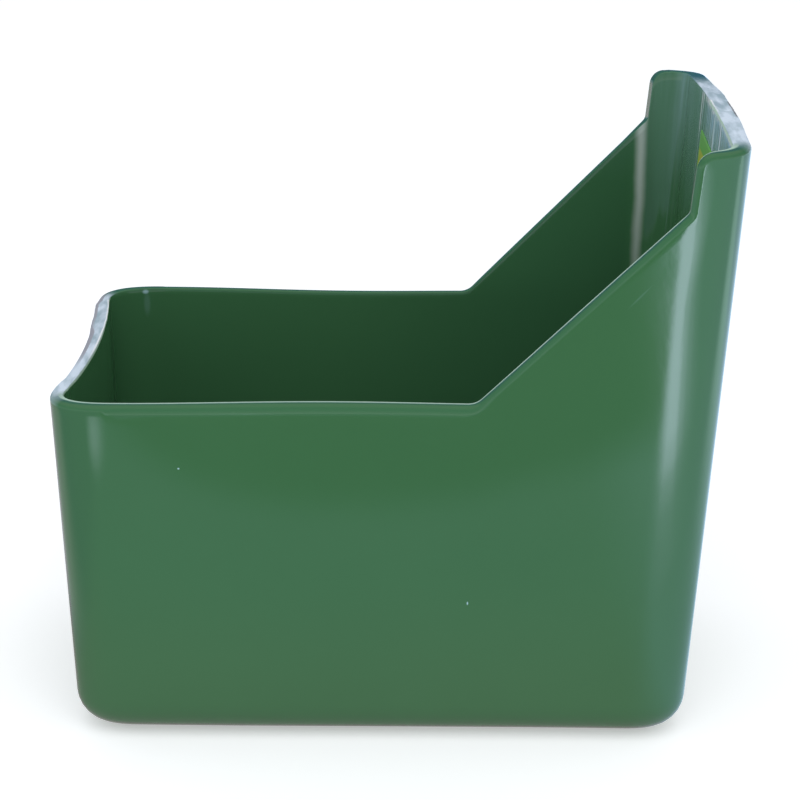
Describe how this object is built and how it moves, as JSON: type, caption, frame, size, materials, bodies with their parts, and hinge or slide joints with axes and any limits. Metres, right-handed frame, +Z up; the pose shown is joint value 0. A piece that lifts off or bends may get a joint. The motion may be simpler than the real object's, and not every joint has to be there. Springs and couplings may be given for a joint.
{
  "type": "livestock feed trough",
  "caption": "Deep rectangular feed trough moulded in green plastic, with a low front lip, side rims that climb to a high back and rounded corners.",
  "frame": {"origin": "middle of the underside, at floor level", "axes": "+X towards the high back, +Y across the trough, +Z up; seen with the low lip on the left, the viewer looks along +Y"},
  "size_m": [0.3177, 0.1929, 0.3046],
  "materials": {
    "green_plastic": "semi-gloss moulded polyethylene",
    "label_film": "printed film label"
  },
  "bodies": {
    "root": {"trough_shell": "green_plastic", "label": "label_film"}
  },
  "joints": []
}
